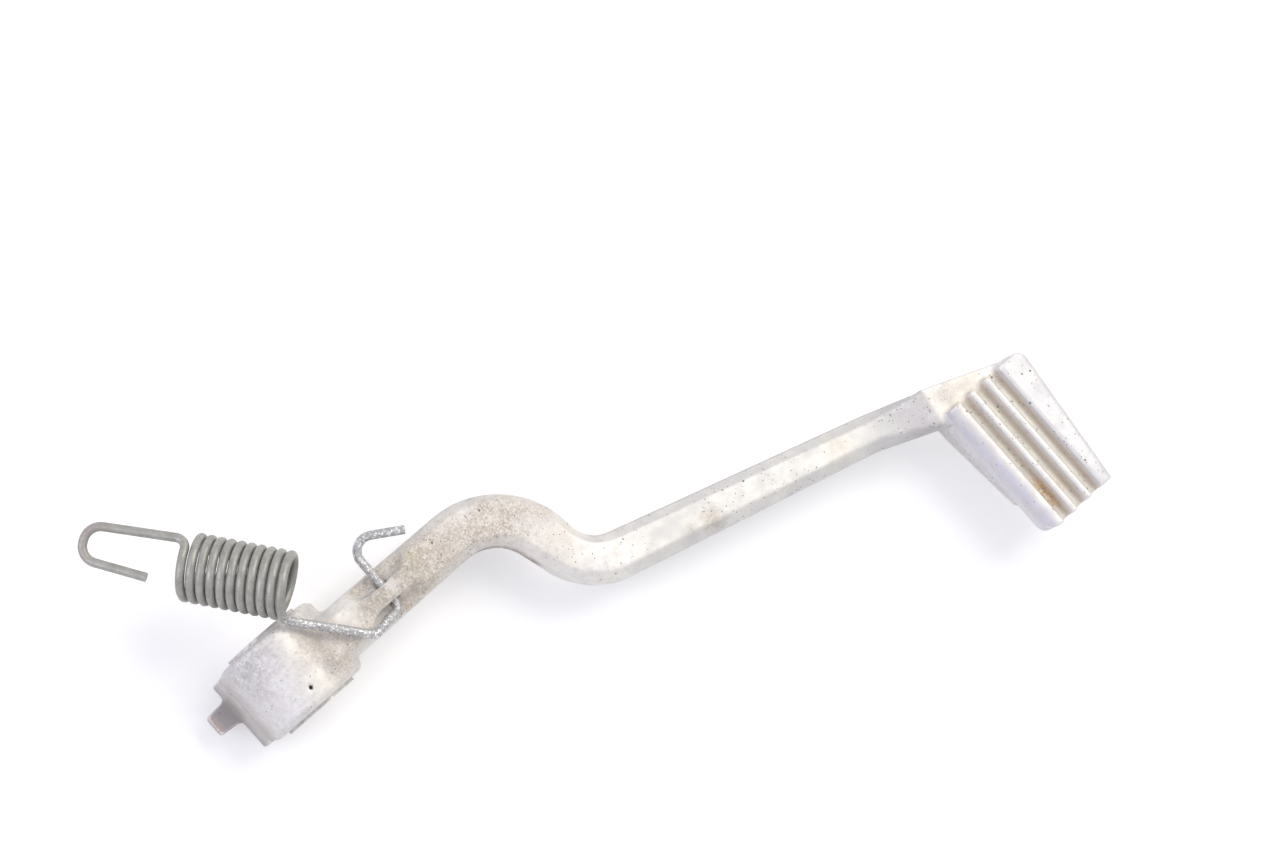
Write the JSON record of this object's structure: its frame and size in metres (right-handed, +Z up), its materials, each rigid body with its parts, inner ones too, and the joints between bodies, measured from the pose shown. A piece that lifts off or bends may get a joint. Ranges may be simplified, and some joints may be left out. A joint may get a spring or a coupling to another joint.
{
  "type": "motorcycle rear brake pedal",
  "caption": "Forged aluminium foot brake lever with an S bend, a ribbed pad, a bushed pivot hub with a stop tang, and a hooked steel return spring through its arm",
  "frame": {"origin": "centre of the pivot bore, on the parting plane of the forging", "axes": "X runs from the pivot along the lever to the pad, Y runs along the bore to the machine, Z points up to the ribbed face of the pad"},
  "size_m": [0.2785, 0.2042, 0.0503],
  "materials": {
    "forged_aluminium": "as forged, oxidised and pitted, brown grime in the hollows",
    "bush_steel": "dull worn steel",
    "spring_wire": "worn zinc, dark grey-olive with bright speckles"
  },
  "bodies": {
    "lever": {"brake_lever": "forged_aluminium", "pivot_bush_inboard": "bush_steel", "pivot_bush_outboard": "bush_steel"},
    "spring": {"return_spring": "spring_wire"}
  },
  "joints": [
    {"name": "spring_swing", "type": "hinge", "parent": "lever", "child": "spring", "pos_m": [0.0382, 0, 0.007], "axis": [0, 1, 0], "range_deg": [0, 40]}
  ]
}
